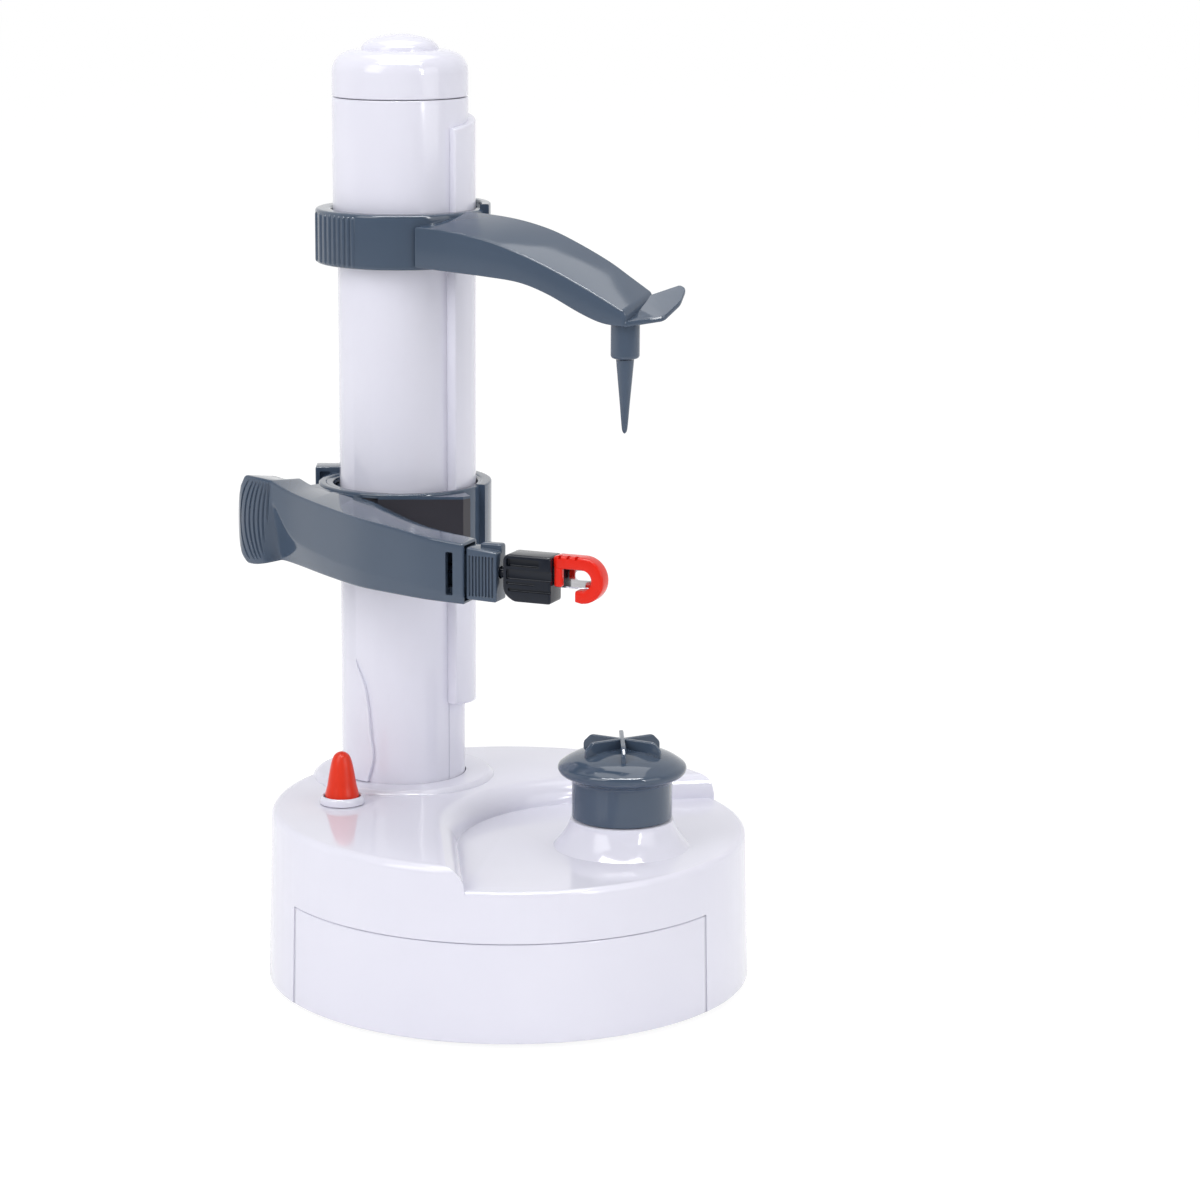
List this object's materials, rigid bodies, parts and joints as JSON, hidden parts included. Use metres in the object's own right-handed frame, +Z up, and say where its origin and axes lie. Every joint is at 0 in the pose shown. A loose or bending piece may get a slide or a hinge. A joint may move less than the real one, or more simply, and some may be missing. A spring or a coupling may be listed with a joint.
{
  "type": "electric potato peeler",
  "caption": "Battery rotary peeler: round base with gear train and finned food cup, column with lead screw, swinging peeling arm with guarded blade, and upper arm with spike.",
  "frame": {"origin": "centre of the bounding box at the worktop, under the rubber feet", "axes": "+Z up; +X to the right seen from the front, towards the food cup; -Y towards the user"},
  "size_m": [0.1578, 0.1475, 0.2855],
  "materials": {
    "white_plastic": "glossy moulded plastic",
    "slate_plastic": "glossy moulded plastic",
    "black_plastic": "satin",
    "red_plastic": "glossy",
    "red_rubber": "soft cap, satin",
    "steel": "satin",
    "blade_steel": "polished",
    "brass": "machined",
    "nylon": "natural",
    "rubber": "matte",
    "cell_jacket": "satin jacket"
  },
  "bodies": {
    "base": {"base_upper_shell": "white_plastic", "base_tray": "white_plastic", "battery_door": "white_plastic", "rubber_foot_1": "rubber", "rubber_foot_2": "rubber", "rubber_foot_3": "rubber", "rubber_foot_4": "rubber", "base_screw_1": "steel", "base_screw_2": "steel", "base_screw_3": "steel", "base_screw_4": "steel", "battery_cell_1": "cell_jacket", "battery_cell_2": "cell_jacket", "battery_cell_3": "cell_jacket", "battery_cell_4": "cell_jacket", "contact_strip_left": "steel", "contact_strip_right": "steel", "motor_can": "steel", "power_switch": "black_plastic", "button_bezel": "white_plastic", "gearbox_plate": "nylon", "idler_axle": "steel", "compound_axle_1": "steel", "compound_axle_2": "steel", "column_tube": "white_plastic", "column_cap": "white_plastic", "screw_top_bush": "nylon"},
    "turntable": {"turntable_gear": "nylon", "turntable_spindle": "steel", "food_cup": "slate_plastic"},
    "idler": {"idler_gear": "nylon"},
    "screw": {"screw_gear": "nylon", "lead_screw": "steel"},
    "second_reduction": {"compound_gear_2": "nylon"},
    "first_reduction": {"compound_gear_1": "nylon"},
    "motor_rotor": {"motor_pinion": "brass"},
    "carriage": {"lift_carriage": "slate_plastic"},
    "peeling_arm": {"peeling_arm": "slate_plastic"},
    "latch": {"blade_latch": "slate_plastic"},
    "blade": {"blade_rod": "steel", "blade_head": "black_plastic", "blade_guard": "red_plastic", "peeling_blade": "blade_steel", "blade_rivet": "steel"},
    "upper_arm": {"upper_arm": "slate_plastic"},
    "spike": {"food_spike": "slate_plastic"},
    "button": {"power_button": "red_rubber"}
  },
  "joints": [
    {"name": "turntable_spin", "type": "hinge", "parent": "base", "child": "turntable", "pos_m": [0.039, -0.0221, 0.06], "axis": [0, 0, 1], "continuous": true},
    {"name": "idler_spin", "type": "hinge", "parent": "base", "child": "idler", "pos_m": [-0.00615, -0.00182, 0.03], "axis": [0, 0, 1], "continuous": true},
    {"name": "screw_spin", "type": "hinge", "parent": "base", "child": "screw", "pos_m": [-0.028, 0.0358, 0.03], "axis": [0, 0, 1], "continuous": true},
    {"name": "second_reduction_spin", "type": "hinge", "parent": "base", "child": "second_reduction", "pos_m": [-0.0124, -0.03727, 0.03], "axis": [0, 0, 1], "continuous": true},
    {"name": "first_reduction_spin", "type": "hinge", "parent": "base", "child": "first_reduction", "pos_m": [-0.02063, -0.01579, 0.02], "axis": [0, 0, 1], "continuous": true},
    {"name": "motor_spin", "type": "hinge", "parent": "base", "child": "motor_rotor", "pos_m": [-0.04546, -0.01872, 0.02], "axis": [0, 0, 1], "continuous": true},
    {"name": "carriage_lift", "type": "slide", "parent": "base", "child": "carriage", "axis": [0, 0, 1], "range_m": [-0.045, 0.036]},
    {"name": "arm_swing", "type": "hinge", "parent": "carriage", "child": "peeling_arm", "pos_m": [-0.028, 0.0358, 0.137], "axis": [0, 0, 1], "range_deg": [-30, 14]},
    {"name": "blade_tilt", "type": "hinge", "parent": "peeling_arm", "child": "blade", "pos_m": [-0.0064, -0.0384, 0.1348], "axis": [0.9135, -0.4067, 0], "range_deg": [-15, 15], "stiffness_Nm_per_rad": 0.05},
    {"name": "latch_slide", "type": "slide", "parent": "peeling_arm", "child": "latch", "axis": [0.9135, -0.4067, 0], "range_m": [-0.003, 0], "stiffness_N_per_m": 300, "springref_m": 0.001},
    {"name": "upper_arm_lift", "type": "slide", "parent": "base", "child": "upper_arm", "axis": [0, 0, 1], "range_m": [-0.024, 0.024]},
    {"name": "spike_spin", "type": "hinge", "parent": "upper_arm", "child": "spike", "pos_m": [0.039, -0.0221, 0.19], "axis": [0, 0, 1], "continuous": true},
    {"name": "button_press", "type": "slide", "parent": "base", "child": "button", "axis": [0, 0, 1], "range_m": [-0.002, 0], "stiffness_N_per_m": 400, "springref_m": 0.001}
  ],
  "couplings": [
    {"joint": "idler_spin", "follows": "turntable_spin", "ratio": -0.83333},
    {"joint": "screw_spin", "follows": "turntable_spin", "ratio": 1.3636},
    {"joint": "second_reduction_spin", "follows": "turntable_spin", "ratio": 2.5},
    {"joint": "first_reduction_spin", "follows": "turntable_spin", "ratio": -9},
    {"joint": "motor_spin", "follows": "turntable_spin", "ratio": 36}
  ]
}
